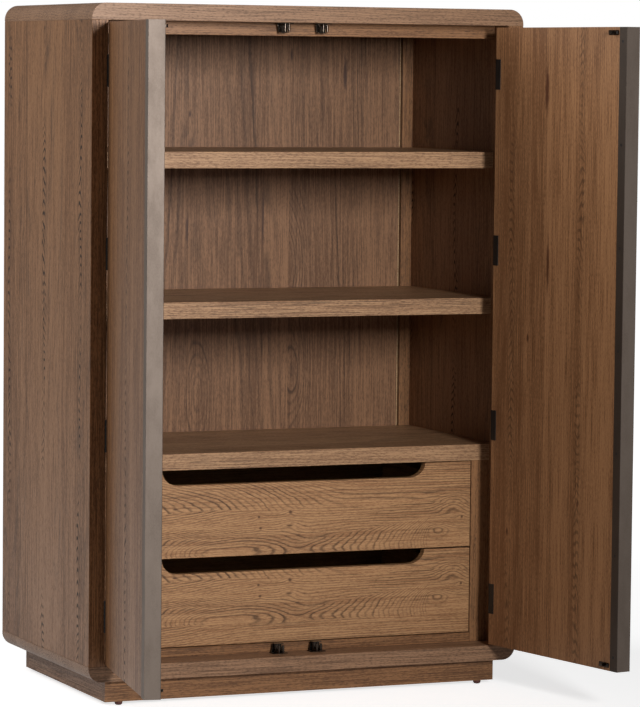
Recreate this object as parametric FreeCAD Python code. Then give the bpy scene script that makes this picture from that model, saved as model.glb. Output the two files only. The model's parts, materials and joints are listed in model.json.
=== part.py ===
import FreeCAD, Part
import math
import os

V = FreeCAD.Vector
os.makedirs("parts", exist_ok=True)

# overall sizes, mm
width, depth, height = 1067.0, 610.0, 1584.5
topT, botT, round_top, round_bot = 38.0, 36.0, 34.0, 32.0
sideT, postT = 18.0, 20.0
shelfT, frameT = 38.0, 20.0
glideH, plinthH, plinthT = 8.5, 49.0, 20.0
plinth_side_in, plinth_front_in, plinth_back_in = 47.0, 20.0, 40.0
setback, back_in, plankT, boardT = 75.0, 35.0, 12.0, 6.0
back_y = depth - back_in
ease = 0.7

# levels
z_bot = glideH + plinthH
z0 = z_bot + botT
z1 = height - topT
case_h, lower_clear, middle_clear = 430.5, 308.5, 305.0
case_top_z = z0 + case_h
lower_shelf_z = case_top_z + shelfT + lower_clear
upper_shelf_z = lower_shelf_z + shelfT + middle_clear
top_rail_h, bottom_rail_h = 30.0, 21.5
half = width / 2
side_in = half - sideT
post_in = side_in - postT
stile_w = 65.5
stile_in = side_in - stile_w

# back
stile_back_w, groove_w, plank_gap = 28.0, 8.0, 0.3
plank_seams = [-300.0, -78.0, 120.0, 187.0, 325.0]

# doors
door_gap, hinge_gap, door_end_gap = 3.0, 1.6, 4.5
doorT, edgeT, edge_round = 34.0, 3.0, 0.8
flange_w, outer_flange_w = 23.0, 30.0
opened = 100.0
door_z0, door_z1 = z0 + door_end_gap, z1 - door_end_gap
hinge_x = post_in - hinge_gap
pivot_x, pivot_y = post_in - hinge_gap / 2, -0.2
hinges, hinge_h, hinge_end, knuckles, hinge_screw_in = 4, 70.0, 113.0, 5, 12.0
turn = math.radians(opened)
reach = -pivot_y - (door_gap / 2 - pivot_x) * math.sin(turn) - (doorT - pivot_y) * math.cos(turn)
y_mid = (depth - reach) / 2
leafT, leaf_frame_w, leaf_wrap_w = 1.8, 22.0, 18.0
knuckle_r, pin_r, pin_fit, part_gap, notch = 3.0, 1.25, 0.05, 0.3, 0.4
cap_r, cap_h = 2.4, 1.5
channel_screws, channel_screw_end = 7, 32.0
screw_r, screw_head_r, screw_head_h, screw_len = 1.6, 3.4, 1.8, 13.0

# catches and strikes
catch_x, catch_level = 47.5, 17.0
strike_w, strike_h, strikeT, strike_screw_in, strike_round = 36.0, 11.0, 1.6, 6.0, 2.5
neck_half, head_half, spear_h, spear_long, spear_play, barb = 1.6, 4.0, 6.0, 5.0, 0.4, 1.0
catchT, armT, arm_w, arm_gap, arm_reach = 2.0, 3.0, 5.0, 1.0, 18.0
roller_r, roller_h, roller_clear, roller_off = 3.0, 14.0, 0.4, 5.6
roller_y = doorT + roller_off
arm_pivot_x, arm_pin_r, arm_fit = 6.5, 1.5, 0.05
arm_pivot_y = roller_y + arm_reach
catch_w, catch_foot_w, catch_body_w, catch_screw_in = 38.0, 28.0, 21.0, 4.5
catch_front, catch_rear, catch_lid_in = 14.0, 9.0, 6.0
catch_y0, catch_y1 = arm_pivot_y - catch_front, arm_pivot_y + catch_rear
catch_h = catchT + arm_gap + armT + roller_h + arm_gap + catchT

# drawers
reveal, drawer_split = 2.0, 3.0
frontT, drawer_sideT, drawer_bottomT = 20.0, 12.0, 6.0
box_low, box_drop, bottom_up, tongue = 10.0, 8.5, 12.0, 5.0
scoop_in, scoop_run, scoop_deep = 120.0, 40.0, 33.5
scoop_half = stile_in - scoop_in
slide_w, slide_h, slide_metal, slide_gap, slide_flange = 12.7, 44.0, 1.2, 0.05, 8.0
slide_front, slide_step = 2.0, 6.0
drawer_back_clear, case_side_clear, case_sideT = 30.0, 1.0, 18.0
box_end = back_y - drawer_back_clear
case_side_x = stile_in + case_side_clear
box_half = case_side_x - slide_w

# small round parts
dowel_r, dowel_side, dowel_board = 4.0, 10.0, 22.0
glide_r, glide_flat, nail_r, nail_len = 9.0, 5.0, 1.6, 22.0
glide_side, glide_bend, glide_bend_r = 5.4, 2.2, 8.1
block_leg, block_up = 45.0, 2.0


def box(x0, x1, y0, y1, zlo, zhi):
    x0, x1 = min(x0, x1), max(x0, x1)
    return Part.makeBox(x1 - x0, y1 - y0, zhi - zlo, V(x0, y0 - y_mid, zlo))


def rod(r, x, y, z, length, way=V(0, 0, 1)):
    return Part.makeCylinder(r, length, V(x, y - y_mid, z), way)


def save(name, shapes):
    shapes = shapes if isinstance(shapes, list) else [shapes]
    solids = [s for shape in shapes for s in shape.Solids]
    shape = solids[0] if len(solids) == 1 else Part.makeCompound(solids)
    shape.exportStep("parts/%s.step" % name)


def cut_all(shape, tools):
    return shape.cut(Part.makeCompound(tools)) if tools else shape


def prism(points, zlo, tall):
    wire = Part.makePolygon([V(x, y - y_mid, zlo) for x, y in points + points[:1]])
    return Part.Face(wire).extrude(V(0, 0, tall))


def screw(x, y, z, way):
    """Countersunk screw whose head is flush at the point, running along way."""
    at = V(x, y - y_mid, z)
    head = Part.makeCone(screw_head_r, screw_r, screw_head_h, at, way)
    shank = Part.makeCylinder(screw_r, screw_len, at, way)
    return head.fuse(shank).removeSplitter()


def eased(shape, chosen):
    """Break the chosen edges with a small chamfer."""
    return shape.makeChamfer(ease, [e for e in shape.Edges if chosen(e.BoundBox)])


def at_front(y):
    return lambda b: b.YLength < 0.01 and abs(b.YMin - (y - y_mid)) < 0.01


def at_level(z):
    return lambda b: b.ZLength < 0.01 and abs(b.ZMin - z) < 0.01


def end_edges(shape, level):
    """Long edges at the two ends of a panel, at one level."""
    found = []
    for e in shape.Edges:
        b = e.BoundBox
        if b.YLength > depth - 1 and abs(b.ZMin - level) < 0.01 and abs(abs(b.XMin) - half) < 0.01:
            found.append(e)
    return found


def dowel_rows():
    """Dowels of the shelves and of the four carcass corners."""
    shelf, corner = [], []
    for zc in (upper_shelf_z, lower_shelf_z, case_top_z):
        for part in (0.13, 0.5, 0.87):
            y = setback + part * (back_y - setback)
            for s in (-1, 1):
                x, long = s * (side_in + dowel_side), dowel_side + dowel_board
                shelf.append(rod(dowel_r, x, y, zc + shelfT / 2, long, V(-s, 0, 0)))
    for part in (0.1, 0.3, 0.5, 0.7, 0.9):
        for s in (-1, 1):
            x, y = s * (half - sideT / 2), depth * part
            corner.append(rod(dowel_r, x, y, z1 - dowel_board, dowel_board + dowel_side))
            corner.append(rod(dowel_r, x, y, z0 - dowel_side, dowel_board + dowel_side))
    return shelf, corner


def pivot(s, zlo, tall, r):
    return rod(r, s * pivot_x, pivot_y, zlo, tall)


def hinge_levels():
    step = (z1 - z0 - 2 * hinge_end) / (hinges - 1)
    return [z0 + hinge_end + i * step - hinge_h / 2 for i in range(hinges)]


def knuckle_spans(zlo, first):
    step = hinge_h / knuckles
    return [(zlo + i * step, step) for i in range(first, knuckles, 2)]


def frame_leaf(s, zlo):
    plate = box(s * post_in, s * (post_in + leafT), 0, leaf_frame_w, zlo, zlo + hinge_h)
    for z, step in knuckle_spans(zlo, 1):
        plate = plate.cut(pivot(s, z - part_gap, step + 2 * part_gap, knuckle_r + notch))
    for z, step in knuckle_spans(zlo, 0):
        plate = plate.fuse(pivot(s, z, step, knuckle_r))
    return plate.cut(pivot(s, zlo, hinge_h, pin_r)).removeSplitter()


def door_leaf(s, zlo):
    edge = box(s * (hinge_x - leafT), s * hinge_x, 0, doorT, zlo, zlo + hinge_h)
    wrap = box(s * (hinge_x - leaf_wrap_w), s * hinge_x, doorT, doorT + leafT, zlo, zlo + hinge_h)
    plate = edge.fuse(wrap)
    for z, step in knuckle_spans(zlo, 0):
        plate = plate.cut(pivot(s, z - part_gap, step + 2 * part_gap, knuckle_r + notch))
    for z, step in knuckle_spans(zlo, 1):
        plate = plate.fuse(pivot(s, z + part_gap, step - 2 * part_gap, knuckle_r))
    return plate.cut(pivot(s, zlo, hinge_h, pin_r + pin_fit)).removeSplitter()


def hinge_pin(s, zlo):
    pin = pivot(s, zlo, hinge_h, pin_r)
    pin = pin.fuse(pivot(s, zlo - cap_h, cap_h, cap_r))
    return pin.fuse(pivot(s, zlo + hinge_h, cap_h, cap_r)).removeSplitter()


def hinge_notch(s, zlo):
    return pivot(s, zlo - cap_h - notch, hinge_h + 2 * (cap_h + notch), knuckle_r + notch)


def strike(s, zc):
    x = s * catch_x
    y = doorT
    plate = box(x - strike_w / 2, x + strike_w / 2, y, y + strikeT, zc - strike_h / 2, zc + strike_h / 2)
    plate = plate.makeFillet(strike_round, [e for e in plate.Edges if e.BoundBox.YLength > strikeT / 2])
    back = roller_y + roller_r + spear_play
    points = [(x - neck_half, y + strikeT), (x + neck_half, y + strikeT), (x + neck_half, back),
              (x + head_half, back + barb), (x, back + spear_long), (x - head_half, back + barb),
              (x - neck_half, back)]
    return plate.fuse(prism(points, zc - spear_h / 2, spear_h)).removeSplitter()


def strike_levels():
    return [z0 + catch_level, z1 - catch_level]


def strike_screws(s):
    out = []
    for zc in strike_levels():
        for dx in (strike_screw_in - strike_w / 2, strike_w / 2 - strike_screw_in):
            out.append(screw(s * catch_x + dx, doorT + strikeT, zc, V(0, -1, 0)))
    return out


def channel(s):
    x0 = door_gap / 2
    edge = box(s * x0, s * (x0 + edgeT), -edgeT, doorT, door_z0, door_z1)
    inner = box(s * x0, s * (x0 + edgeT + flange_w), doorT - edgeT, doorT, door_z0, door_z1)
    outer = box(s * x0, s * (x0 + outer_flange_w), -edgeT, 0, door_z0, door_z1)
    shape = edge.fuse(inner).fuse(outer).removeSplitter()
    corners = []
    for e in shape.Edges:
        b = e.BoundBox
        if b.ZLength > door_z1 - door_z0 - 1 and abs(abs(b.XMin) - x0) < 0.01:
            corners.append(e)
    return shape.makeFillet(edge_round, corners)


def door(s, side):
    """One door, built shut and then swung open to the angle in the picture."""
    free = door_gap / 2 + edgeT
    panel = box(s * free, s * hinge_x, 0, doorT, door_z0, door_z1)
    metal = channel(s)
    leaves = [door_leaf(s, z) for z in hinge_levels()]
    span = door_z1 - door_z0 - 2 * channel_screw_end
    x_screw = s * (free + flange_w * 0.5)
    rows = [door_z0 + channel_screw_end + span * i / (channel_screws - 1) for i in range(channel_screws)]
    edge_screws = [screw(x_screw, doorT, z, V(0, -1, 0)) for z in rows]
    strikes = [strike(s, z) for z in strike_levels()]
    small = strike_screws(s)
    x_leaf = s * (hinge_x - leaf_wrap_w * 0.55)
    leaf_screws = []
    for z in hinge_levels():
        for dz in (hinge_screw_in, hinge_h - hinge_screw_in):
            leaf_screws.append(screw(x_leaf, doorT + leafT, z + dz, V(0, -1, 0)))
    panel = panel.cut(metal)
    panel = cut_all(panel, [hinge_notch(s, z) for z in hinge_levels()])
    panel = cut_all(panel, leaves + edge_screws + small + leaf_screws)
    metal = cut_all(metal, edge_screws)
    leaves = [cut_all(leaf, leaf_screws) for leaf in leaves]
    strikes = [cut_all(one, small) for one in strikes]
    groups = {"door_panel": [panel], "edge_channel": [metal], "hinge_leaves": leaves, "strikes": strikes,
              "door_screws": edge_screws + leaf_screws + small}
    at = V(s * pivot_x, pivot_y - y_mid, 0)
    for name, shapes in groups.items():
        moved = []
        for shape in shapes:
            shape = shape.copy()
            shape.rotate(at, V(0, 0, 1), s * opened)
            moved.append(shape)
        save("%s_%s" % (side, name), moved)


def catch_parts(cx, base, up):
    """Frame and two arms of a roller catch; up is +1 where it stands on the bottom panel."""
    def slab(x0, x1, y0, y1, a, b):
        lo, hi = sorted((base + up * a, base + up * b))
        return box(cx + x0, cx + x1, y0, y1, lo, hi)

    def pin(r, x, y, a, b):
        lo, hi = sorted((base + up * a, base + up * b))
        return rod(r, cx + x, y, lo, hi - lo)

    frame = slab(-catch_w / 2, catch_w / 2, catch_y0, catch_y1, 0, catchT)
    w, foot = catch_body_w / 2, catch_foot_w / 2
    outline = [(-foot, 0), (foot, 0), (w, catch_h), (-w, catch_h), (-foot, 0)]
    web = Part.makePolygon([V(cx + x, catch_y1 - y_mid, base + up * a) for x, a in outline])
    frame = frame.fuse(Part.Face(web).extrude(V(0, -catchT, 0)))
    frame = frame.fuse(slab(-w, w, catch_y0 + catch_lid_in, catch_y1, catch_h - catchT, catch_h))
    screws, arms = [], []
    for t in (-1, 1):
        frame = frame.fuse(pin(arm_pin_r, t * arm_pivot_x, arm_pivot_y, catchT, catch_h - catchT))
        head = V(0, 0, -up)
        x, y = cx + t * (catch_w / 2 - catch_screw_in), (catch_y0 + catch_y1) / 2
        screws.append(screw(x, y, base + up * catchT, head))
        rx = t * (neck_half + roller_clear + roller_r)
        a0 = catchT + arm_gap
        px, py = t * arm_pivot_x, arm_pivot_y
        dx, dy = rx - px, roller_y - py
        k = arm_w / 2 / math.hypot(dx, dy)
        ox, oy = -dy * k, dx * k
        lo = min(base + up * a0, base + up * (a0 + armT))
        bar = prism([(cx + px + ox, py + oy), (cx + px - ox, py - oy), (cx + rx - ox, roller_y - oy),
                     (cx + rx + ox, roller_y + oy)], lo, armT)
        arm = bar.fuse(pin(arm_w / 2, px, py, a0, a0 + armT))
        arm = arm.fuse(pin(arm_w / 2, rx, roller_y, a0, a0 + armT))
        arm = arm.fuse(pin(roller_r, rx, roller_y, a0 + armT, a0 + armT + roller_h))
        arm = arm.cut(pin(arm_pin_r + arm_fit, px, py, a0 - 1, a0 + armT + 1))
        arms.append(arm.removeSplitter())
    frame = cut_all(frame, screws).removeSplitter()
    return frame, arms, screws


def c_section(s, x_web, x_tip, zc, tall, y0, y1):
    """Steel channel, its web at x_web and its flanges reaching x_tip, measured inward from the case side."""
    a, b = sorted((x_web, x_tip))
    whole = box(s * (case_side_x - a), s * (case_side_x - b), y0, y1, zc - tall / 2, zc + tall / 2)
    m = slide_metal
    if x_web < x_tip:
        a, b = a + m, b + 1
    else:
        a, b = a - 1, b - m
    h = tall / 2 - m
    return whole.cut(box(s * (case_side_x - a), s * (case_side_x - b), y0 - 1, y1 + 1, zc - h, zc + h))


def slide_sets(zc):
    """Case, middle and drawer members of the two slides of one drawer."""
    y0, y1 = setback + frontT + slide_front, box_end
    step = 2 * (slide_metal + slide_gap)
    case = [c_section(s, 0, slide_flange, zc, slide_h, y0, y1) for s in (-1, 1)]
    w = slide_metal + slide_gap
    middle = [c_section(s, w, w + slide_flange, zc, slide_h - step, y0, y1 - slide_step) for s in (-1, 1)]
    tip = w + slide_metal + slide_gap
    y2 = y1 - 2 * slide_step
    drawer = [c_section(s, slide_w, tip, zc, slide_h - 2 * step, y0, y2) for s in (-1, 1)]
    return case, middle, drawer


def drawer_front(zlo, zhi):
    front = box(-stile_in + reveal, stile_in - reveal, setback, setback + frontT, zlo, zhi)
    low = zhi - scoop_deep
    flat = scoop_half - scoop_run
    y = setback - y_mid

    def arc(s):
        pts = []
        for i in range(9):
            a = math.radians(90.0 * i / 8)
            pts.append(V(s * (flat + scoop_run * math.sin(a)), y, low + scoop_deep * (1 - math.cos(a))))
        curve = Part.BSplineCurve()
        curve.interpolate(pts)
        return curve.toShape()

    ends = [V(s * scoop_half, y, z) for s in (1, -1) for z in (zhi, zhi + 5)]
    wire = Part.Wire(Part.__sortEdges__([
        Part.makeLine(V(-flat, y, low), V(flat, y, low)), arc(1), arc(-1), Part.makeLine(ends[0], ends[1]),
        Part.makeLine(ends[1], ends[3]), Part.makeLine(ends[3], ends[2])]))
    front = front.cut(Part.Face(wire).extrude(V(0, frontT, 0)))
    return eased(front, at_front(setback))


def drawer(name, zlo, zhi):
    inner = box_half - drawer_sideT
    y0 = setback + frontT
    z_side0, z_side1 = zlo + box_low, zhi - scoop_deep - box_drop
    sides = [box(s * inner, s * box_half, y0, box_end, z_side0, z_side1) for s in (-1, 1)]
    low = z_side0 + bottom_up + drawer_bottomT
    back = box(-inner, inner, box_end - drawer_sideT, box_end, low, z_side1)
    floor = z_side0 + bottom_up
    bottom = box(-inner - tongue, inner + tongue, y0, box_end, floor, floor + drawer_bottomT)
    sides = [side.cut(bottom) for side in sides]
    save(name + "_front", drawer_front(zlo, zhi))
    save(name + "_sides", sides)
    save(name + "_back", back)
    save(name + "_bottom", bottom)
    case, middle, inner_members = slide_sets((z_side0 + z_side1) / 2)
    save(name + "_slide_middle", middle)
    save(name + "_slide_inner", inner_members)
    return case


def carcass():
    shelf_dowels, corner_dowels = dowel_rows()
    top = box(-half, half, 0, depth, z1, height)
    top = eased(top.makeFillet(round_top, end_edges(top, height)), at_level(z1))
    bottom = box(-half, half, 0, depth, z_bot, z0)
    bottom = eased(bottom.makeFillet(round_bot, end_edges(bottom, z_bot)), at_level(z0))
    frames, arms, catch_screws = [], [], []
    for base, up in ((z1, -1), (z0, 1)):
        for s in (-1, 1):
            frame, pair, fixings = catch_parts(s * catch_x, base, up)
            frames.append(frame)
            arms += pair
            catch_screws += fixings
    save("top_panel", cut_all(top, corner_dowels + catch_screws))
    save("bottom_panel", cut_all(bottom, corner_dowels + catch_screws))
    save("catch_frames", frames)
    for i, arm in enumerate(arms):
        where = ("upper_left", "upper_right", "lower_left", "lower_right")[i // 2]
        save("catch_arm_%s_%s" % (where, "ab"[i % 2]), arm)
    leaf_screws = []
    for s, side in ((-1, "left"), (1, "right")):
        panel = eased(box(s * side_in, s * half, 0, depth, z0, z1), lambda b: True)
        save(side + "_side_panel", cut_all(panel, shelf_dowels + corner_dowels))
        leaves = [frame_leaf(s, z) for z in hinge_levels()]
        fixings = []
        for z in hinge_levels():
            for dz in (hinge_screw_in, hinge_h - hinge_screw_in):
                fixings.append(screw(s * post_in, leaf_frame_w * 0.6, z + dz, V(s, 0, 0)))
        post = box(s * post_in, s * side_in, 0, setback, z0, z1)
        post = cut_all(post, [hinge_notch(s, z) for z in hinge_levels()])
        save(side + "_front_post", cut_all(post, leaves + fixings))
        save(side + "_frame_leaves", [cut_all(leaf, fixings) for leaf in leaves])
        save(side + "_hinge_pins", [hinge_pin(s, z) for z in hinge_levels()])
        leaf_screws += fixings
        stile = box(s * stile_in, s * side_in, setback, setback + frameT, z0, case_top_z)
        save(side + "_drawer_stile", eased(stile, at_front(setback)))
    save("carcass_screws", leaf_screws + catch_screws)
    rail = box(-side_in, side_in, setback, setback + frameT, z1 - top_rail_h, z1)
    save("top_front_rail", eased(rail, at_front(setback)))
    rail = box(-stile_in, stile_in, setback, setback + frameT, z0, z0 + bottom_rail_h)
    save("bottom_front_rail", eased(rail, at_front(setback)))
    shelves = {"upper_shelf": upper_shelf_z, "lower_shelf": lower_shelf_z, "drawer_case_top": case_top_z}
    for name, z in shelves.items():
        board = eased(box(-side_in, side_in, setback, back_y, z, z + shelfT), at_front(setback))
        save(name, cut_all(board, shelf_dowels))
    save("dowels", shelf_dowels + corner_dowels)
    inner, outer = case_side_x, case_side_x + case_sideT
    save("drawer_case_sides",
         [box(s * inner, s * outer, setback + frameT, back_y, z0, case_top_z) for s in (-1, 1)])


def back():
    y1 = back_y + plankT
    save("back_board", box(-side_in, side_in, y1, y1 + boardT, z0, z1))
    x0 = side_in - stile_back_w
    save("back_stiles", [box(s * x0, s * side_in, back_y, y1, z0, z1) for s in (-1, 1)])
    edge = x0 - groove_w
    starts = [-edge] + [x + plank_gap / 2 for x in plank_seams]
    ends = [x - plank_gap / 2 for x in plank_seams] + [edge]
    save("back_planks", [box(a, b, back_y, y1, z0, z1) for a, b in zip(starts, ends)])


def base():
    px, y0, y1 = half - plinth_side_in, plinth_front_in, depth - plinth_back_in
    glides, blocks = [], []
    for y in (y0 + plinthT / 2, y1 - plinthT / 2):
        for s in (-1, 1):
            x, yy = s * stile_in, y - y_mid
            start, low = V(x + glide_r, yy, glideH), V(x + glide_flat, yy, 0)
            bend = V(x + glide_bend_r, yy, glide_bend)
            top, corner, foot = V(x, yy, glideH), V(x + glide_r, yy, glide_side), V(x, yy, 0)
            edges = [Part.makeLine(top, start), Part.makeLine(start, corner),
                     Part.Arc(corner, bend, low).toShape(),
                     Part.makeLine(low, foot), Part.makeLine(foot, top)]
            dome = Part.Face(Part.Wire(edges)).revolve(V(x, yy, 0), V(0, 0, 1), 360)
            glides.append(dome.fuse(rod(nail_r, x, y, glideH, nail_len)))
    front = box(-px, px, y0, y0 + plinthT, glideH, z_bot)
    rear = box(-px, px, y1 - plinthT, y1, glideH, z_bot)
    sides = [box(s * (px - plinthT), s * px, y0 + plinthT, y1 - plinthT, glideH, z_bot) for s in (-1, 1)]
    for y, t in ((y0 + plinthT, 1), (y1 - plinthT, -1)):
        for s in (-1, 1):
            x = s * (px - plinthT)
            points = [(x, y), (x - s * block_leg, y), (x, y + t * block_leg)]
            blocks.append(prism(points, glideH + block_up, plinthH - block_up))
    save("plinth_rails", [cut_all(front, glides), cut_all(rear, glides)])
    save("plinth_sides", sides)
    save("plinth_blocks", blocks)
    save("foot_glides", glides)


carcass()
back()
base()
door(-1, "left")
door(1, "right")
z_low = z0 + bottom_rail_h + reveal
z_high = case_top_z - reveal
tall = (z_high - z_low - drawer_split) / 2
case_members = drawer("lower_drawer", z_low, z_low + tall)
case_members += drawer("upper_drawer", z_high - tall, z_high)
save("slide_case_members", case_members)
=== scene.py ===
import json
import math
import bpy
from mathutils import Matrix, Vector

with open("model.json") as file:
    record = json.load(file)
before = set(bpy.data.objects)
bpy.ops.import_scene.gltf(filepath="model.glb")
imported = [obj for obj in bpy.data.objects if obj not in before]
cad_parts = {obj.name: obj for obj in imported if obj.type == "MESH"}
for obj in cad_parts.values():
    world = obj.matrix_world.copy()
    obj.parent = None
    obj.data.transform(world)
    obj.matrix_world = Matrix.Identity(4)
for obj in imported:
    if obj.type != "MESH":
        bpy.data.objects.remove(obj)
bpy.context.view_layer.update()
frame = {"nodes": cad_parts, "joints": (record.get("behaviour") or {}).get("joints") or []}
nodes = frame["nodes"]
print("chifforobe: loaded", len(nodes), "nodes")


# camera, set at the place and angle the picture was taken from
cameraSettings = {
    "place": (-3.4161, -8.0622, 1.436),
    "yaw": 23.27,
    "pitch": -4.234,
    "roll": 0.589,
    "focalPixels": 3807.5,
    "longSidePixels": 707,
    "sensor": 36.0,
    "farClip": 100.0,
}


def setCamera(s):
    yaw, pitch, roll = (math.radians(s[k]) for k in ("yaw", "pitch", "roll"))
    ahead = Vector((math.sin(yaw) * math.cos(pitch), math.cos(yaw) * math.cos(pitch), math.sin(pitch)))
    right = Vector((math.cos(yaw), -math.sin(yaw), 0))
    up = right.cross(ahead)
    x = right * math.cos(roll) + up * math.sin(roll)
    y = up * math.cos(roll) - right * math.sin(roll)
    data = bpy.data.cameras.new("camera")
    data.sensor_width = s["sensor"]
    data.lens = s["focalPixels"] * s["sensor"] / s["longSidePixels"]
    data.clip_end = s["farClip"]
    cam = bpy.data.objects.new("camera", data)
    turn = Matrix((x, y, -ahead)).transposed().to_4x4()
    cam.matrix_world = Matrix.Translation(s["place"]) @ turn
    bpy.context.scene.collection.objects.link(cam)
    bpy.context.scene.camera = cam


setCamera(cameraSettings)
print("chifforobe: camera set")


# shader helpers
def addNode(tree, kind, **settings):
    n = tree.nodes.new(kind)
    for key, value in settings.items():
        setattr(n, key, value)
    return n


def feed(tree, socket, value):
    if isinstance(value, bpy.types.NodeSocket):
        tree.links.new(value, socket)
    else:
        socket.default_value = value


def calc(tree, operation, a, b=None, c=None):
    n = addNode(tree, "ShaderNodeMath", operation=operation)
    for socket, value in zip(n.inputs, (a, b, c)):
        if value is not None:
            feed(tree, socket, value)
    return n.outputs[0]


def plus(tree, total, *others):
    for value in others:
        total = calc(tree, "ADD", total, value)
    return total


def times(tree, total, *others):
    for value in others:
        total = calc(tree, "MULTIPLY", total, value)
    return total


def minus(tree, a, b):
    return calc(tree, "SUBTRACT", a, b)


def scaled(tree, value, factor, base):  # value times factor, plus base
    return calc(tree, "MULTIPLY_ADD", value, factor, base)


def centred(tree, value):  # 0 to 1 becomes -0.5 to 0.5
    return minus(tree, value, 0.5)


def fade(tree, value, low, high, toLow=0.0, toHigh=1.0):
    n = addNode(tree, "ShaderNodeMapRange", interpolation_type="SMOOTHSTEP")
    labels = ("Value", "From Min", "From Max", "To Min", "To Max")
    for label, v in zip(labels, (value, low, high, toLow, toHigh)):
        feed(tree, n.inputs[label], v)
    return n.outputs["Result"]


def blendColour(tree, amount, a, b, kind="MIX"):
    n = addNode(tree, "ShaderNodeMix", data_type="RGBA", blend_type=kind)
    for socket, value in ((n.inputs[0], amount), (n.inputs[6], a), (n.inputs[7], b)):
        feed(tree, socket, value)
    return n.outputs[2]


def splitPlace(tree, place):
    n = addNode(tree, "ShaderNodeSeparateXYZ")
    tree.links.new(place, n.inputs[0])
    return tuple(n.outputs)


def stretchedNoise(tree, parts, scales, detail, roughness):
    v = addNode(tree, "ShaderNodeCombineXYZ")
    for socket, part, scale in zip(v.inputs, parts, scales):
        feed(tree, socket, times(tree, part, scale))
    n = addNode(tree, "ShaderNodeTexNoise")
    tree.links.new(v.outputs[0], n.inputs["Vector"])
    n.inputs["Scale"].default_value = 1.0
    n.inputs["Detail"].default_value = detail
    n.inputs["Roughness"].default_value = roughness
    return n.outputs[0]


def newGroup(name, inputs, outputs):
    tree = bpy.data.node_groups.new(name, "ShaderNodeTree")
    for label, kind, value in inputs:
        socket = tree.interface.new_socket(label, in_out="INPUT", socket_type="NodeSocket" + kind)
        if value is not None:
            socket.default_value = value
    for label, kind in outputs:
        tree.interface.new_socket(label, in_out="OUTPUT", socket_type="NodeSocket" + kind)
    start = addNode(tree, "NodeGroupInput")
    end = addNode(tree, "NodeGroupOutput")
    return tree, start.outputs, end.inputs


def shade(r, g, b):  # a colour as a colour picker shows it, 0 to 255
    flat = [c / 255 for c in (r, g, b)]
    return tuple(c / 12.92 if c <= 0.04045 else ((c + 0.055) / 1.055) ** 2.4 for c in flat) + (1.0,)


# oak: growth rings cut by the board's face, pores in the early wood, long streaks and veneer leaves
oakSettings = {
    "noise": {  # scales along, across and through the board, then detail and roughness
        "warp": ((1.6, 9.0, 1.0), 3.0, 0.5),
        "ripple": ((17.0, 70.0, 1.0), 2.0, 0.5),
        "patchy": ((3.0, 22.0, 1.0), 2.0, 0.5),
        "zone": ((1.1, 13.0, 1.0), 2.0, 0.5),
        "grit": ((110.0, 480.0, 1.0), 2.0, 0.6),
        "dash": ((14.0, 420.0, 1.0), 2.0, 0.6),
        "clump": ((2.2, 17.0, 1.0), 2.0, 0.5),
        "sway": ((4.0, 1.0, 1.0), 2.0, 0.5),
        "row": ((3.0, 1.0, 1.0), 2.0, 0.5),
        "bands": ((0.45, 20.0, 1.0), 3.0, 0.55),
        "fibre": ((7.0, 400.0, 1.0), 3.0, 0.6),
        "streak": ((2.2, 125.0, 1.0), 3.0, 0.6),
    },
    "leaf": {"slip": 2.4, "level": 31.0},  # how far leaves differ along the grain and in the noise
    "depth": {"coarse": 12.0, "fine": 400.0},  # how fast the grain changes through the board
    "ringEnds": 0.3,
    "ringSteps": ((0.09, 1.0), (0.24, 0.85), (0.4, 0.15), (0.85, 0.0)),
    "yearShare": 0.5,
    "patchy": (0.3, 0.6, 0.45, 1.0),
    "zone": (0.44, 0.62, 0.12, 1.0),
    "swirl": (0.003, 0.014),
    "grit": (0.5, 0.66),
    "gritInRing": 0.7,
    "gritBetween": 0.3,
    "dash": (0.53, 0.66),
    "clump": (0.42, 0.62, 0.1, 1.0),
    "chevron": {"sway": 0.03, "pitch": 44.0, "slope": 75.0, "jitter": 8.0, "line": (0.26, 0.42),
                "width": (0.004, 0.017, 1.0, 0.0), "gaps": (0.34, 0.52)},
    "tone": {"bands": 3.0, "fibre": 3.6, "grit": 2.0, "streak": 0.9, "base": 0.45, "ends": (-0.1, 1.1)},
    "poreColour": {"share": 0.6, "black": (0.012, 0.007, 0.004, 1)},
    "rough": {"base": 0.38, "soft": 0.1, "pore": 0.2},
    "height": {"pore": -1.0, "fibre": 0.35, "ring": -0.25},
}


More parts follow.
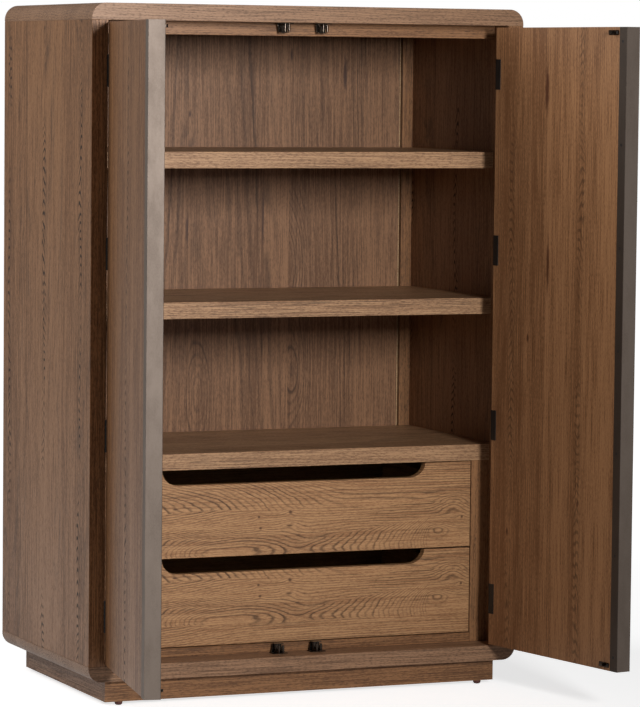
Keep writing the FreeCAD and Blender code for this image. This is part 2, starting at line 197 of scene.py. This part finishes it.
def makeOakGroup(s):
    tree, i, o = newGroup("oakGrain", [
        ("Board", "Vector", None), ("Swirl", "Float", 0.0), ("Leaf Width", "Float", 0.13),
        ("Leaf Shift", "Float", 0.0), ("Leaf Tone", "Float", 0.3), ("Leaf Wander", "Float", 0.6),
        ("Pith Across", "Float", 0.0), ("Pith Deep", "Float", 0.05), ("Taper", "Float", 0.05),
        ("Ring Width", "Float", 0.006), ("Warp", "Float", 0.02), ("Ring Depth", "Float", 0.5),
        ("Pore Depth", "Float", 0.6), ("Streak Depth", "Float", 0.7), ("Flame Depth", "Float", 0.0),
        ("Ripple", "Float", 0.6), ("Patch", "Float", 0.0), ("Seed", "Float", 0.0),
        ("Pale", "Color", None), ("Mid", "Color", None), ("Dark", "Color", None)],
        [("Color", "Color"), ("Rough", "Float"), ("Height", "Float")])

    def noise(name, *place):
        return stretchedNoise(tree, place, *s["noise"][name])

    # each veneer leaf has its own place in the tree
    along, across, deep = splitPlace(tree, i["Board"])
    shifted = plus(tree, across, i["Leaf Shift"])
    leaf = calc(tree, "FLOOR", calc(tree, "DIVIDE", shifted, i["Leaf Width"]))
    pick = addNode(tree, "ShaderNodeCombineXYZ")
    tree.links.new(leaf, pick.inputs[0])
    tree.links.new(i["Seed"], pick.inputs[1])
    dice = addNode(tree, "ShaderNodeTexWhiteNoise", noise_dimensions="2D")
    tree.links.new(pick.outputs[0], dice.inputs["Vector"])
    rolls = addNode(tree, "ShaderNodeSeparateColor")
    tree.links.new(dice.outputs["Color"], rolls.inputs[0])
    rollA, rollB, rollC = (centred(tree, r) for r in rolls.outputs)
    middle = times(tree, plus(tree, leaf, 0.5), i["Leaf Width"])
    wander = times(tree, rollA, times(tree, i["Leaf Width"], i["Leaf Wander"]))
    local = plus(tree, minus(tree, shifted, middle), i["Pith Across"], wander)
    run = scaled(tree, rollB, times(tree, i["Leaf Wander"], s["leaf"]["slip"]), along)
    coarse = times(tree, deep, s["depth"]["coarse"])
    level = plus(tree, scaled(tree, rollC, s["leaf"]["level"], coarse), i["Seed"])
    fine = times(tree, deep, s["depth"]["fine"])

    # growth rings round the pith, bent by the warp and by what comes in as swirl
    bend = centred(tree, noise("warp", run, across, level))
    core = plus(tree, scaled(tree, run, i["Taper"], i["Pith Deep"]), deep)
    radius = calc(tree, "SQRT", plus(tree, times(tree, local, local), times(tree, core, core)))
    radius = plus(tree, scaled(tree, bend, i["Warp"], radius), i["Swirl"])
    ripple = centred(tree, noise("ripple", run, across, level))
    phase = scaled(tree, ripple, i["Ripple"], calc(tree, "DIVIDE", radius, i["Ring Width"]))
    ramp = addNode(tree, "ShaderNodeValToRGB")
    for end in ramp.color_ramp.elements:
        end.color = (s["ringEnds"],) * 3 + (1,)
    for at, value in s["ringSteps"]:
        ramp.color_ramp.elements.new(at).color = (value, value, value, 1)
    tree.links.new(calc(tree, "FRACT", phase), ramp.inputs[0])
    year = addNode(tree, "ShaderNodeTexWhiteNoise", noise_dimensions="1D")
    tree.links.new(calc(tree, "FLOOR", phase), year.inputs["W"])
    yearDepth = scaled(tree, year.outputs[0], s["yearShare"], 1 - s["yearShare"])
    patchy = noise("patchy", run, across, level)
    ring = times(tree, ramp.outputs[0], yearDepth, fade(tree, patchy, *s["patchy"]))
    zone = fade(tree, noise("zone", run, across, level), *s["zone"])
    swirled = fade(tree, calc(tree, "ABSOLUTE", i["Swirl"]), *s["swirl"])
    zone = calc(tree, "MAXIMUM", zone, swirled)
    # with Patch at 1 the rings show in zones only
    ring = times(tree, ring, scaled(tree, minus(tree, zone, 1.0), i["Patch"], 1.0))

    # pores: fine grit, mostly in the rings, and longer dashes in clumps
    grit = noise("grit", run, across, fine)
    dash = noise("dash", run, across, fine)
    gritShare = scaled(tree, ring, s["gritInRing"], s["gritBetween"])
    gritMask = times(tree, fade(tree, grit, *s["grit"]), gritShare)
    clump = noise("clump", run, across, level)
    dashMask = times(tree, fade(tree, dash, *s["dash"]), fade(tree, clump, *s["clump"]))
    pore = times(tree, calc(tree, "MAXIMUM", gritMask, dashMask), i["Pore Depth"])

    # the crown of a leaf: a narrow upright row of small chevrons
    c = s["chevron"]
    sway = centred(tree, noise("sway", run, level, level))
    off = calc(tree, "ABSOLUTE", scaled(tree, sway, c["sway"], local))
    climb = scaled(tree, off, c["slope"], times(tree, patchy, c["jitter"]))
    climb = scaled(tree, run, c["pitch"], climb)
    line = fade(tree, calc(tree, "PINGPONG", climb, 0.5), *c["line"])
    row = times(tree, fade(tree, off, *c["width"]), fade(tree, noise("row", run, level, level), *c["gaps"]))
    pore = calc(tree, "MAXIMUM", pore, times(tree, line, row, i["Flame Depth"]))

    # tone between the pale and the mid colour, then the rings and pores over it
    t = s["tone"]
    bands = centred(tree, noise("bands", run, across, level))
    fibre = noise("fibre", run, across, fine)
    streak = centred(tree, noise("streak", run, across, level))
    tone = plus(tree, times(tree, bands, times(tree, i["Streak Depth"], t["bands"])),
                times(tree, centred(tree, fibre), t["fibre"]),
                times(tree, centred(tree, grit), t["grit"]),
                times(tree, rollC, i["Leaf Tone"]),
                times(tree, streak, t["streak"]), t["base"])
    soft = fade(tree, tone, *t["ends"])
    colour = blendColour(tree, soft, i["Pale"], i["Mid"])
    colour = blendColour(tree, times(tree, ring, i["Ring Depth"]), colour, i["Dark"])
    poreColour = blendColour(tree, s["poreColour"]["share"], i["Dark"], s["poreColour"]["black"])
    tree.links.new(blendColour(tree, pore, colour, poreColour), o["Color"])
    rough = scaled(tree, soft, s["rough"]["soft"], s["rough"]["base"])
    tree.links.new(scaled(tree, pore, s["rough"]["pore"], rough), o["Rough"])
    height = scaled(tree, pore, s["height"]["pore"], times(tree, fibre, s["height"]["fibre"]))
    tree.links.new(scaled(tree, ring, s["height"]["ring"], height), o["Height"])
    return tree


# a knot: a dark heart drawn out along the grain, with a bulge that bends the rings round it
knotSettings = {
    "labels": ("Along", "Across", "Size", "Stretch", "Bulge", "Reach", "Cut"),
    "wobble": ((60.0, 160.0, 10.0), 2.0, 0.5),
    "fray": (0.9, 0.55),
    "heart": (0.35, 1.25, 1.0, 0.0),
    "noCut": -9.0,  # beyond any board
}


def makeKnotGroup(s):
    tree, i, o = newGroup("oakKnot", [
        ("Board", "Vector", None), ("Along", "Float", 0.0), ("Across", "Float", 0.0),
        ("Size", "Float", 0.006), ("Stretch", "Float", 1.6), ("Bulge", "Float", 0.02),
        ("Reach", "Float", 0.05), ("Cut", "Float", s["noCut"])],
        [("Heart", "Float"), ("Bulge", "Float")])
    place = splitPlace(tree, i["Board"])
    a = calc(tree, "DIVIDE", minus(tree, place[0], i["Along"]), i["Stretch"])
    b = minus(tree, place[1], i["Across"])
    wobble = stretchedNoise(tree, place, *s["wobble"])
    gap = calc(tree, "SQRT", plus(tree, times(tree, a, a), times(tree, b, b)))
    frayed = times(tree, gap, scaled(tree, wobble, *s["fray"]))
    share = calc(tree, "DIVIDE", frayed, i["Size"])
    tree.links.new(fade(tree, share, *s["heart"]), o["Heart"])
    near = calc(tree, "DIVIDE", gap, i["Reach"])
    swell = calc(tree, "EXPONENT", times(tree, near, near, -1.0))
    inside = calc(tree, "GREATER_THAN", place[1], i["Cut"])  # a seam stops the bulge
    tree.links.new(times(tree, swell, inside, i["Bulge"]), o["Bulge"])
    return tree


# crown-cut figure of the drawer fronts: where the ring lines are lifted, cut off and fanned out
drawerFigure = {
    "edge": 0.0006,  # half the width over which a zone begins
    "tilt": {"slope": -0.1, "from": -0.3, "to": -0.02},
    "comb": {"floor": 0.026, "wave": (23.0, 0.003), "bend": 6.0, "ease": 0.8, "lift": 0.18,
             "from": -0.5, "to": 0.16},
    "low": {"floor": -0.08, "wave": (17.0, 0.003), "start": -0.035, "ease": 0.9},
    "fan": {"from": 0.03, "begin": (-0.05, 0.04), "edge": -0.048, "rise": 0.13, "end": 0.338,
            "axis": -0.072, "round": 0.016, "spread": 0.55, "swell": 0.0062, "run": 0.118, "longest": 3.0,
            "slope": 0.14, "back": 0.35},
    # along, across, stretch, reach and lift of each
    "ovals": ((-0.155, -0.07, 4.4, 0.033, -0.034), (-0.25, -0.07, 2.2, 0.033, -0.022)),
    "hills": ((0.03, -0.035, 3.2, 0.026, 0.012), (-0.015, -0.013, 1.9, 0.014, -0.01),
              (0.405, 0.022, 1.8, 0.022, -0.022), (0.365, -0.035, 1.5, 0.018, -0.014)),
}


def makeFigureGroup(s):
    tree, i, o = newGroup("oakFigure", [("Board", "Vector", None)], [("Lift", "Float")])
    along, across, _ = splitPlace(tree, i["Board"])

    def above(value, level):  # 1 above the level, 0 below it
        return fade(tree, minus(tree, value, level), -s["edge"], s["edge"])

    def waved(level, wave):
        return scaled(tree, calc(tree, "SINE", times(tree, along, wave[0])), wave[1], level)

    def hill(x, z, stretch, reach, lift):
        a = calc(tree, "DIVIDE", minus(tree, along, x), stretch * reach)
        b = calc(tree, "DIVIDE", minus(tree, across, z), reach)
        gap = plus(tree, times(tree, a, a), times(tree, b, b))
        return times(tree, calc(tree, "EXPONENT", times(tree, gap, -1.0)), lift)

    # the lines fall away at the left, and stand as a comb along the top
    tilt, comb, low, fan = s["tilt"], s["comb"], s["low"], s["fan"]
    tiltLift = times(tree, along, fade(tree, along, tilt["from"], tilt["to"], tilt["slope"], 0.0))
    up = minus(tree, across, comb["floor"])
    bowl = scaled(tree, times(tree, up, up), comb["bend"], times(tree, up, -comb["ease"]))
    climb = plus(tree, bowl, fade(tree, along, comb["from"], comb["to"], 0.0, comb["lift"]))
    combLift = times(tree, above(across, waved(comb["floor"], comb["wave"])), climb)

    # below, long ovals at the left and a fan at the right
    sink = calc(tree, "MINIMUM", minus(tree, across, low["start"]), 0.0)
    lowLift = plus(tree, times(tree, sink, -low["ease"]), *[hill(*oval) for oval in s["ovals"]])
    start = minus(tree, along, fan["from"])
    edge = scaled(tree, start, fan["rise"], fan["edge"])
    zone = times(tree, above(edge, across), above(fan["end"], along), fade(tree, start, *fan["begin"]))
    axis = minus(tree, across, fan["axis"])
    bend = minus(tree, calc(tree, "SQRT", scaled(tree, axis, axis, fan["round"] ** 2)), axis)
    growth = calc(tree, "MINIMUM", times(tree, start, 1 / fan["run"]), fan["longest"])
    swell = times(tree, calc(tree, "EXPONENT", growth), -fan["swell"])
    spread = plus(tree, times(tree, bend, fan["spread"]), scaled(tree, start, -fan["slope"], swell))
    lowLift = plus(tree, lowLift, times(tree, zone, scaled(tree, sink, fan["back"], spread)))
    lowLift = times(tree, above(across, waved(low["floor"], low["wave"])), lowLift)

    tree.links.new(plus(tree, tiltLift, combLift, lowLift, *[hill(*h) for h in s["hills"]]), o["Lift"])
    return tree


# mottled metal: cloudy patina and fine specks
patinaSettings = {
    "cloud": ((26.0, 26.0, 9.0), 5.0, 0.62),
    "speck": ((420.0, 420.0, 260.0), 2.0, 0.5),
    "cloudEnds": (0.3, 0.7),
    "wornEnds": (-0.1, 0.8),
    "rough": 0.16,
    "cloudHeight": 0.6,
}


def makePatinaGroup(s):
    tree, i, o = newGroup("metalPatina", [
        ("Place", "Vector", None), ("Cloud", "Float", 0.5), ("Speck", "Float", 0.4),
        ("Base", "Color", None), ("Worn", "Color", None), ("Gloss", "Float", 0.42)],
        [("Color", "Color"), ("Rough", "Float"), ("Height", "Float")])
    place = splitPlace(tree, i["Place"])
    cloud = stretchedNoise(tree, place, *s["cloud"])
    speck = stretchedNoise(tree, place, *s["speck"])
    amount = plus(tree, times(tree, fade(tree, cloud, *s["cloudEnds"]), i["Cloud"]),
                  times(tree, centred(tree, speck), i["Speck"]))
    worn = fade(tree, amount, *s["wornEnds"])
    tree.links.new(blendColour(tree, worn, i["Base"], i["Worn"]), o["Color"])
    tree.links.new(scaled(tree, amount, s["rough"], i["Gloss"]), o["Rough"])
    tree.links.new(scaled(tree, cloud, s["cloudHeight"], speck), o["Height"])
    return tree


oakGrain = makeOakGroup(oakSettings)
oakKnot = makeKnotGroup(knotSettings)
oakFigure = makeFigureGroup(drawerFigure)
metalPatina = makePatinaGroup(patinaSettings)
print("chifforobe: shader groups made")


def newMaterial(name):
    m = bpy.data.materials.new(name)
    m.use_nodes = True
    tree = m.node_tree
    return m, tree, tree.nodes["Principled BSDF"]


def boardSpace(tree, s):
    # object coordinates turned so that x runs along the grain, y across the face and z through the board
    turn, about = s.get("turn", 0.0), s.get("about", (0, 0))
    back = addNode(tree, "ShaderNodeMapping")
    tree.links.new(addNode(tree, "ShaderNodeTexCoord").outputs["Object"], back.inputs[0])
    swing = Matrix.Rotation(turn, 3, "Z") @ Vector((about[0], about[1], 0))
    back.inputs["Location"].default_value = (about[0] - swing.x, about[1] - swing.y, 0)
    back.inputs["Rotation"].default_value = (0, 0, turn)
    place = splitPlace(tree, back.outputs[0])
    through = ({"X", "Y", "Z"} - {s["grain"], s["across"]}).pop()
    axes = (s["grain"], s["across"], through)
    join = addNode(tree, "ShaderNodeCombineXYZ")
    for socket, axis, move in zip(join.inputs, axes, s.get("shift", (0, 0, 0))):
        tree.links.new(plus(tree, place["XYZ".index(axis)], move), socket)
    return join.outputs[0]


def addRelief(tree, bsdf, height, s):
    bump = addNode(tree, "ShaderNodeBump")
    bump.inputs["Strength"].default_value = s["relief"]
    bump.inputs["Distance"].default_value = s["reliefDepth"]
    tree.links.new(height, bump.inputs["Height"])
    tree.links.new(bump.outputs[0], bsdf.inputs["Normal"])


oakFinish = {
    "pale": shade(156, 112, 75), "mid": shade(112, 75, 46), "dark": shade(54, 33, 20),
    "heart": shade(58, 34, 22), "heartCover": 0.85,
    "plankStep": 7.3,  # from one plank's seed to the next
    "relief": 0.35, "reliefDepth": 0.0004, "specular": 0.35,
}


def oakMaterial(name, piece):
    s = dict(oakFinish, **piece)
    m, tree, bsdf = newMaterial(name)
    board = boardSpace(tree, s)
    g = addNode(tree, "ShaderNodeGroup", node_tree=oakGrain)
    tree.links.new(board, g.inputs["Board"])
    for label, value in s["oak"].items():
        g.inputs[label].default_value = value
    for label in ("pale", "mid", "dark"):
        g.inputs[label.title()].default_value = s[label]
    if "seams" in s:  # each plank has its own piece of the tree
        across = splitPlace(tree, board)[1]
        seed = s["oak"]["Seed"]
        for seam in s["seams"]:
            seed = scaled(tree, calc(tree, "GREATER_THAN", across, seam), s["plankStep"], seed)
        tree.links.new(seed, g.inputs["Seed"])
    colour, swirls = g.outputs["Color"], []
    if s.get("figured"):
        figure = addNode(tree, "ShaderNodeGroup", node_tree=oakFigure)
        tree.links.new(board, figure.inputs["Board"])
        swirls.append(figure.outputs["Lift"])
    for knot in s.get("knots", ()):
        k = addNode(tree, "ShaderNodeGroup", node_tree=oakKnot)
        tree.links.new(board, k.inputs["Board"])
        for label, value in zip(knotSettings["labels"], knot):
            k.inputs[label].default_value = value
        swirls.append(k.outputs["Bulge"])
        colour = blendColour(tree, times(tree, k.outputs["Heart"], s["heartCover"]), colour, s["heart"])
    if swirls:
        tree.links.new(plus(tree, *swirls), g.inputs["Swirl"])
    tree.links.new(colour, bsdf.inputs["Base Color"])
    tree.links.new(g.outputs["Rough"], bsdf.inputs["Roughness"])
    bsdf.inputs["Specular IOR Level"].default_value = s["specular"]
    addRelief(tree, bsdf, g.outputs["Height"], s)
    return m


metalFinish = {"relief": 0.2, "reliefDepth": 0.0003}


def metalMaterial(name, piece):
    s = dict(metalFinish, **piece)
    m, tree, bsdf = newMaterial(name)
    g = addNode(tree, "ShaderNodeGroup", node_tree=metalPatina)
    tree.links.new(addNode(tree, "ShaderNodeTexCoord").outputs["Object"], g.inputs["Place"])
    for label, value in s["patina"].items():
        g.inputs[label].default_value = value
    colour = g.outputs["Color"]
    if "flangeShade" in s:  # painted shade: the flange on the door's inner face is darkened in its colour for the shade it stands in
        deep = splitPlace(tree, boardSpace(tree, s))[2]
        inner = fade(tree, deep, s["flangeShade"]["from"], s["flangeShade"]["to"])
        shadedFlange = blendColour(tree, 1.0, colour, s["flangeShade"]["tone"], "MULTIPLY")
        colour = blendColour(tree, inner, colour, shadedFlange)
    tree.links.new(colour, bsdf.inputs["Base Color"])
    tree.links.new(g.outputs["Rough"], bsdf.inputs["Roughness"])
    bsdf.inputs["Metallic"].default_value = s["metallic"]
    addRelief(tree, bsdf, g.outputs["Height"], s)
    return m


def dress(material, *names):
    for name in names:
        obj = nodes[name]
        obj.data.materials.clear()
        obj.data.materials.append(material)


# carcass sides, veneered with upright leaves
sidePanels = {
    "grain": "Z", "across": "Y",
    "oak": {"Leaf Width": 0.246, "Leaf Shift": 0.11, "Leaf Wander": 0.0, "Leaf Tone": 0.3,
            "Pith Deep": 0.02, "Taper": 0.03, "Ring Width": 0.0055, "Warp": 0.03, "Ring Depth": 0.5,
            "Pore Depth": 0.55, "Streak Depth": 0.4, "Flame Depth": 1.0, "Patch": 1.0, "Seed": 3.0},
}
dress(oakMaterial("oakSide", sidePanels), "left_side_panel", "right_side_panel")

# front posts, rails and drawer stiles
postBoards = {
    "grain": "Z", "across": "X", "shift": (0.3, 0.0, 0.0),
    "oak": {"Leaf Width": 0.3, "Pith Deep": 0.06, "Taper": 0.01, "Ring Width": 0.006, "Warp": 0.02,
            "Ring Depth": 0.3, "Pore Depth": 0.55, "Streak Depth": 0.6, "Seed": 5.0},
}
dress(oakMaterial("oakPost", postBoards), "left_front_post", "right_front_post",
      "left_drawer_stile", "right_drawer_stile", "back_stiles")
railBoards = {
    "grain": "X", "across": "Z",
    "oak": {"Leaf Width": 0.5, "Pith Deep": 0.05, "Taper": 0.01, "Ring Width": 0.005, "Warp": 0.02,
            "Ring Depth": 0.35, "Pore Depth": 0.55, "Streak Depth": 0.6, "Seed": 8.0},
}
dress(oakMaterial("oakRail", railBoards), "top_front_rail", "bottom_front_rail", "plinth_rails")

# shelves and the two slabs, grain running from end to end
shelfBoards = {
    "grain": "X", "across": "Y",
    "oak": {"Leaf Width": 0.14, "Pith Deep": 0.04, "Taper": 0.03, "Ring Width": 0.006, "Warp": 0.025,
            "Ring Depth": 0.4, "Pore Depth": 0.55, "Streak Depth": 0.3, "Seed": 12.0},
    # painted light: these colours, paler than the sides, stand in for the stronger light on the shelves'
    # front edges
    "pale": shade(184, 144, 107), "mid": shade(142, 105, 75),
}
dress(oakMaterial("oakShelf", shelfBoards), "upper_shelf", "lower_shelf", "drawer_case_top")
slabBoards = {
    "grain": "X", "across": "Y", "shift": (0.4, 0.03, 0.0),
    "oak": dict(shelfBoards["oak"], **{"Leaf Width": 0.16, "Seed": 14.0}),
    # painted light in part: these colours, paler than the sides, also stand in for the light on the slabs'
    # fronts
    "pale": shade(164, 126, 96), "mid": shade(120, 88, 64),
}
dress(oakMaterial("oakSlab", slabBoards), "top_panel", "bottom_panel")
plinthSides = {
    "grain": "Y", "across": "Z",
    "oak": {"Leaf Width": 0.4, "Pith Deep": 0.05, "Taper": 0.01, "Ring Width": 0.005, "Ring Depth": 0.35,
            "Seed": 9.0},
}
dress(oakMaterial("oakPlinthSide", plinthSides), "plinth_sides")

# back planks
backPlanks = {
    "grain": "Z", "across": "X",
    "seams": (-0.3, -0.078, 0.12, 0.187, 0.325),
    "oak": {"Leaf Width": 3.0, "Leaf Shift": 1.5, "Leaf Wander": 0.1, "Leaf Tone": 0.5,
            "Pith Deep": -0.02, "Taper": 0.03, "Ring Width": 0.0088, "Warp": 0.022, "Ring Depth": 0.82,
            "Pore Depth": 0.35, "Streak Depth": 0.4, "Flame Depth": 0.6, "Ripple": 0.4, "Patch": 1.0,
            "Seed": 21.0},
    "pale": shade(152, 113, 83), "mid": shade(110, 77, 53), "heart": shade(62, 40, 34),
    # the first five are fissures and knots, the last three only bend the rings into arches
    "knots": ((1.43, 0.333, 0.006, 8.0, 0.006, 0.012), (1.475, 0.19, 0.004, 4.0, 0.006, 0.012),
              (1.33, -0.075, 0.003, 3.0, 0.008, 0.02), (1.05, -0.08, 0.0028, 16.0, 0.006, 0.014),
              (1.08, 0.118, 0.0024, 34.0, 0.005, 0.012), (0.98, 0.18, 0.0001, 2.5, -0.06, 0.055, 0.187),
              (0.7, 0.205, 0.0001, 3.2, -0.05, 0.036, 0.187),
              (0.66, -0.05, 0.0001, 3.6, -0.042, 0.03, -0.078)),
}
dress(oakMaterial("oakBack", backPlanks), "back_planks")

# doors: the veneer runs upright and swings with each door
hingeJoints = {j["name"]: j for j in frame["joints"] if j["name"].endswith("door_swing")}
doorAngle = -math.radians(hingeJoints["left_door_swing"]["range_deg"][0])  # the shut end of the range
leftDoor = {
    "grain": "Z", "across": "X", "turn": doorAngle,
    "about": tuple(hingeJoints["left_door_swing"]["pos_m"][:2]),
    "oak": {"Leaf Width": 0.25, "Leaf Shift": 0.125, "Leaf Wander": 0.0, "Leaf Tone": 0.5,
            "Pith Deep": 0.02, "Taper": 0.03, "Ring Width": 0.0055, "Warp": 0.03, "Ring Depth": 0.5,
            "Pore Depth": 0.55, "Streak Depth": 0.6, "Flame Depth": 1.0, "Patch": 1.0, "Seed": 31.0},
}
dress(oakMaterial("oakLeftDoor", leftDoor), "left_door_panel")
rightDoor = {
    "grain": "Z", "across": "X", "turn": -doorAngle,
    "about": tuple(hingeJoints["right_door_swing"]["pos_m"][:2]),
    "oak": {"Leaf Width": 0.26, "Leaf Shift": -0.03, "Leaf Wander": 0.0, "Leaf Tone": 0.6,
            "Pith Deep": 0.03, "Taper": 0.03, "Ring Width": 0.0055, "Warp": 0.035, "Ring Depth": 0.35,
            "Pore Depth": 0.2, "Streak Depth": 0.75, "Flame Depth": 0.5, "Patch": 1.0, "Seed": 44.0},
    # painted light: this door is paler than the left one, standing in for the light on its inner face
    "pale": shade(178, 130, 90), "mid": shade(126, 85, 54), "heart": shade(72, 32, 18),
    "knots": ((1.4, 0.294, 0.009, 6.5, 0.008, 0.02), (1.0, 0.283, 0.006, 12.0, 0.01, 0.02),
              (0.829, 0.356, 0.0045, 2.4, 0.008, 0.016), (0.372, 0.4265, 0.0045, 2.4, 0.008, 0.016),
              (0.462, 0.158, 0.004, 2.4, 0.008, 0.016)),
}
dress(oakMaterial("oakRightDoor", rightDoor), "right_door_panel")

# drawer fronts: crown-cut leaves in sequence, the same figure on both
drawerFronts = {
    "grain": "X", "across": "Z", "figured": True,
    "oak": {"Leaf Width": 3.0, "Leaf Shift": 1.5, "Leaf Wander": 0.0, "Leaf Tone": 0.0, "Pith Across": 0.5,
            "Pith Deep": 0.0, "Taper": 0.0, "Ring Width": 0.0058, "Warp": 0.016, "Ring Depth": 0.9,
            "Pore Depth": 0.4, "Streak Depth": 0.3, "Ripple": 1.0, "Seed": 52.0},
    # painted light in part: these paler colours also stand in for the stronger light on the drawer fronts
    "pale": shade(191, 146, 103), "mid": shade(155, 110, 73), "dark": shade(62, 38, 23),
    "heart": shade(74, 42, 26),
    "knots": ((-0.0125, 0.018, 0.0046, 1.2, -0.006, 0.012), (-0.091, 0.0095, 0.003, 1.3, -0.005, 0.01),
              (-0.087, -0.017, 0.0034, 1.3, -0.005, 0.01), (0.4265, -0.0085, 0.0034, 1.2, -0.004, 0.01),
              (-0.015, -0.013, 0.0022, 4.0, 0.0, 0.01), (-0.298, 0.034, 0.0024, 3.0, 0.0, 0.01)),
}
figureHeights = {"upper_drawer_front": 0.4, "lower_drawer_front": 0.242}  # its middle, above the floor
for name, height in figureHeights.items():
    dress(oakMaterial("oak_" + name, dict(drawerFronts, shift=(0.0, -height, 0.0))), name)

# plain wood that stays inside
plainWood = {
    "grain": "Y", "across": "Z",
    "oak": {"Leaf Width": 0.4, "Ring Width": 0.006, "Ring Depth": 0.2, "Pore Depth": 0.3,
            "Streak Depth": 0.4, "Seed": 61.0},
    "pale": shade(190, 160, 122), "mid": shade(160, 126, 90), "dark": shade(110, 80, 52),
}
dress(oakMaterial("plainWood", plainWood), "upper_drawer_sides", "lower_drawer_sides", "drawer_case_sides",
      "plinth_blocks", "dowels")
dress(oakMaterial("plainWoodCross", dict(plainWood, grain="X")), "upper_drawer_back", "lower_drawer_back",
      "upper_drawer_bottom", "lower_drawer_bottom", "back_board")

# doors' metal edges; the painted shade on the inner flange is placed in the same turned space as the door
# panels
edgeMetal = {
    "metallic": 0.6, "grain": "Z", "across": "X",
    "patina": {"Cloud": 0.35, "Speck": 0.5, "Base": shade(117, 104, 94), "Worn": shade(100, 87, 77),
               "Gloss": 0.56},
    # painted shade: the inner flange's colour is multiplied by this tone, darker for the shade it stands in
    "flangeShade": {"from": -0.0266, "to": -0.0256, "tone": (0.42, 0.4, 0.38, 1)},
}
for side, door in (("left", leftDoor), ("right", rightDoor)):
    edge = dict(edgeMetal, turn=door["turn"], about=door["about"])
    dress(metalMaterial(side + "EdgeMetal", edge), side + "_edge_channel")

# small hardware
nickelPlate = {
    "metallic": 1.0,
    "patina": {"Cloud": 0.6, "Speck": 0.2, "Base": shade(78, 69, 62), "Worn": shade(46, 38, 32),
               "Gloss": 0.18},
}
nickelNodes = [n for n in nodes if n.startswith("catch_") or "strikes" in n]
dress(metalMaterial("nickelPlate", nickelPlate), *nickelNodes)
blackMetal = {
    "metallic": 0.4,
    "patina": {"Cloud": 0.5, "Speck": 0.3, "Base": shade(26, 25, 25), "Worn": shade(48, 45, 43),
               "Gloss": 0.4},
}
blackNodes = [n for n in nodes if "screws" in n or "hinge" in n or "leaves" in n]
dress(metalMaterial("blackMetal", blackMetal), *blackNodes)
zincSteel = {
    "metallic": 1.0,
    "patina": {"Cloud": 0.6, "Speck": 0.2, "Base": shade(200, 202, 205), "Worn": shade(160, 163, 168),
               "Gloss": 0.3},
}
dress(metalMaterial("zincSteel", zincSteel), *[n for n in nodes if "slide" in n])
glidePlastic = {
    "metallic": 0.0,
    "patina": {"Cloud": 0.4, "Speck": 0.4, "Base": shade(92, 48, 38), "Worn": shade(66, 34, 28),
               "Gloss": 0.5},
}
dress(metalMaterial("glidePlastic", glidePlastic), "foot_glides")
print("chifforobe: materials on", len([o for o in nodes.values() if o.data.materials]), "nodes")

# floor and light
white = (1, 1, 1, 1)
floorSettings = {
    "size": 60.0, "colour": (0.85, 0.85, 0.85, 1), "roughness": 0.8,
    "glowNear": 0.72, "glowFar": 1.0, "reach": (1.2, 5.0), "shine": 0.4,
}
worldSettings = {"ambient": 0.05, "shine": 0.12}
lampSettings = {
    "side": {"place": (-2.8, 1.1, 3.0), "aim": (0.0, 0.1, 0.9), "size": (2.4, 2.2), "power": 74.0,
             "spread": 180.0},
    "front": {"place": (-0.08, -4.6, 1.98), "aim": (-0.78, 0.0, 1.42), "size": (0.6, 1.0), "power": 37.0,
              "spread": 76.0},
}


def seenShare(tree, shine):  # 1 to the camera and through glass, the shine in reflections, 0 as light
    path = addNode(tree, "ShaderNodeLightPath").outputs
    mirrored = times(tree, path["Is Glossy Ray"], shine)
    other = calc(tree, "MAXIMUM", mirrored, path["Is Transmission Ray"])
    return calc(tree, "MAXIMUM", path["Is Camera Ray"], other)


def makeFloor(s):
    mesh = bpy.data.meshes.new("floor")
    h = s["size"] / 2
    mesh.from_pydata([(-h, -h, 0), (h, -h, 0), (h, h, 0), (-h, h, 0)], [], [(0, 1, 2, 3)])
    obj = bpy.data.objects.new("floor", mesh)
    bpy.context.scene.collection.objects.link(obj)
    m, tree, bsdf = newMaterial("paleFloor")
    bsdf.inputs["Base Color"].default_value = s["colour"]
    bsdf.inputs["Roughness"].default_value = s["roughness"]
    bsdf.inputs["Emission Color"].default_value = white
    gap = addNode(tree, "ShaderNodeVectorMath", operation="LENGTH")
    tree.links.new(addNode(tree, "ShaderNodeTexCoord").outputs["Object"], gap.inputs[0])
    glow = fade(tree, gap.outputs["Value"], *s["reach"], s["glowNear"], s["glowFar"])
    tree.links.new(times(tree, seenShare(tree, s["shine"]), glow), bsdf.inputs["Emission Strength"])
    mesh.materials.append(m)


def makeWorld(s):
    world = bpy.data.worlds.new("studio")
    bpy.context.scene.world = world
    world.use_nodes = True
    tree = world.node_tree
    back = tree.nodes["Background"]
    back.inputs["Color"].default_value = white
    strength = scaled(tree, seenShare(tree, s["shine"]), 1.0 - s["ambient"], s["ambient"])
    tree.links.new(strength, back.inputs["Strength"])


def makeLamps(lamps):
    for name, s in lamps.items():
        data = bpy.data.lights.new(name, "AREA")
        data.shape = "RECTANGLE"
        data.size, data.size_y = s["size"]
        data.energy = s["power"]
        data.spread = math.radians(s["spread"])
        lamp = bpy.data.objects.new(name, data)
        lamp.location = s["place"]
        aim = Vector(s["aim"]) - Vector(s["place"])
        lamp.rotation_euler = aim.to_track_quat("-Z", "Y").to_euler()
        bpy.context.scene.collection.objects.link(lamp)


makeFloor(floorSettings)
makeWorld(worldSettings)
makeLamps(lampSettings)
bpy.context.scene.view_settings.view_transform = "Standard"
print("chifforobe: floor and light set")
